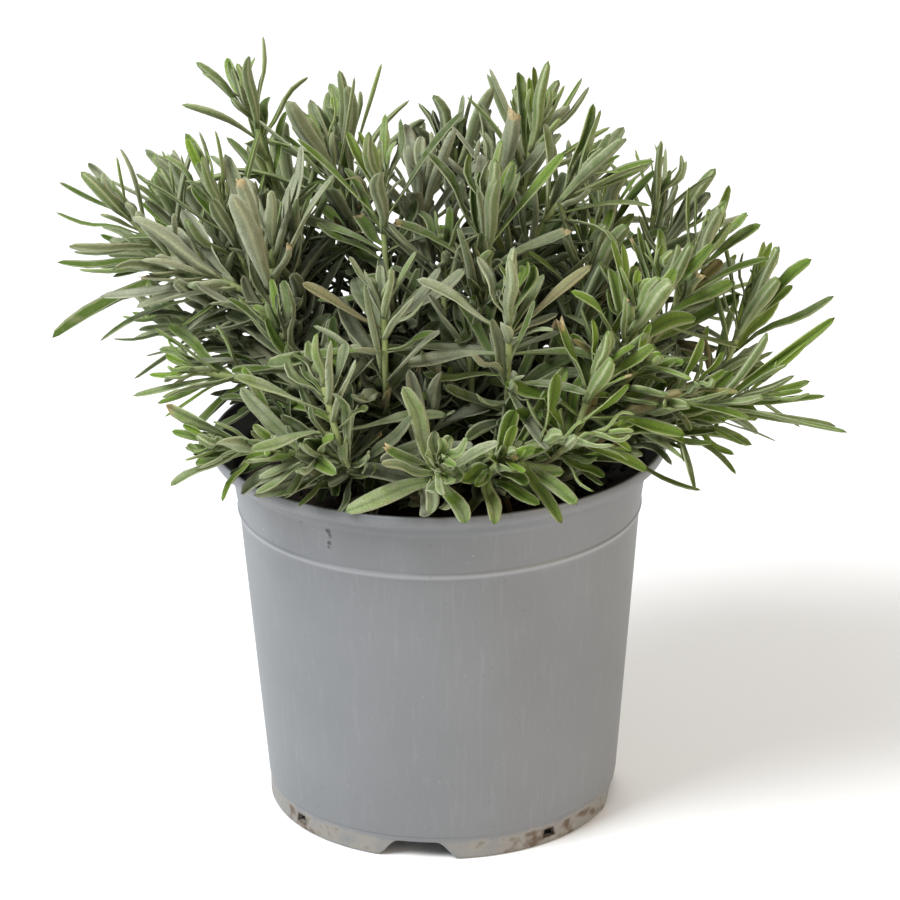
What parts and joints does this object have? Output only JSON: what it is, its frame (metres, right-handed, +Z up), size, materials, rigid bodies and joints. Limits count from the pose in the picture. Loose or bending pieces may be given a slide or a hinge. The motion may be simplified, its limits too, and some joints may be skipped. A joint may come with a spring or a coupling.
{
  "type": "potted lavender",
  "caption": "Young lavender plant with narrow grey-green felted leaves, rooted in potting mix in a tapered grey nursery pot.",
  "frame": {"origin": "on the pot's axis, at the level of the surface that it stands on", "axes": "+Z up along the pot's axis, -Y towards the front, where a foot notch is; +X to the right seen from the front"},
  "size_m": [0.2196, 0.173, 0.216],
  "materials": {
    "pot": "satin",
    "potting_mix": "matte",
    "foliage": "matte"
  },
  "bodies": {
    "root": {"pot": "pot", "potting_mix": "potting_mix", "shoot_crown_far_left": "foliage", "shoot_crown_left": "foliage", "shoot_crown_left_silver": "foliage", "shoot_crown_mid_left": "foliage", "shoot_crown_middle": "foliage", "shoot_crown_middle_silver": "foliage", "shoot_crown_back_dark": "foliage", "shoot_crown_mid_right": "foliage", "shoot_crown_mid_right_silver": "foliage", "shoot_crown_right": "foliage", "shoot_crown_right_arched": "foliage", "shoot_left_reaching": "foliage", "shoot_left_silver_fan": "foliage", "shoot_left_low": "foliage", "shoot_left_lip": "foliage", "shoot_left_upper": "foliage", "shoot_left_trailing": "foliage", "shoot_front_left_bud": "foliage", "shoot_front_right_bud": "foliage", "shoot_front_left": "foliage", "shoot_front_left_low": "foliage", "shoot_front_lip": "foliage", "shoot_front_middle_silver": "foliage", "shoot_front_right": "foliage", "shoot_front_right_low": "foliage", "shoot_front_right_lip": "foliage", "shoot_front_middle": "foliage", "shoot_right_spoon": "foliage", "shoot_right_spoon_back": "foliage", "shoot_right_upper": "foliage", "shoot_right_wispy": "foliage", "shoot_right_outer": "foliage", "shoot_right_slender": "foliage", "shoot_right_hooked": "foliage", "shoot_right_lip": "foliage", "shoot_inner_left": "foliage", "shoot_inner_front_left": "foliage", "shoot_inner_middle": "foliage", "shoot_inner_right": "foliage", "shoot_inner_front_right": "foliage", "shoot_inner_back_left": "foliage", "shoot_inner_back_right": "foliage", "shoot_inner_low_left": "foliage", "shoot_inner_low_middle": "foliage", "shoot_inner_low_right": "foliage", "shoot_back_upper_left": "foliage", "shoot_back_upper_right": "foliage", "shoot_back_far_left": "foliage", "shoot_back_left": "foliage", "shoot_back_middle": "foliage", "shoot_back_right": "foliage", "shoot_back_far_right": "foliage", "shoot_back_low_left": "foliage", "shoot_back_lip_left": "foliage", "shoot_back_lip_middle": "foliage", "shoot_back_lip_right": "foliage", "shoot_back_low_right": "foliage"}
  },
  "joints": []
}
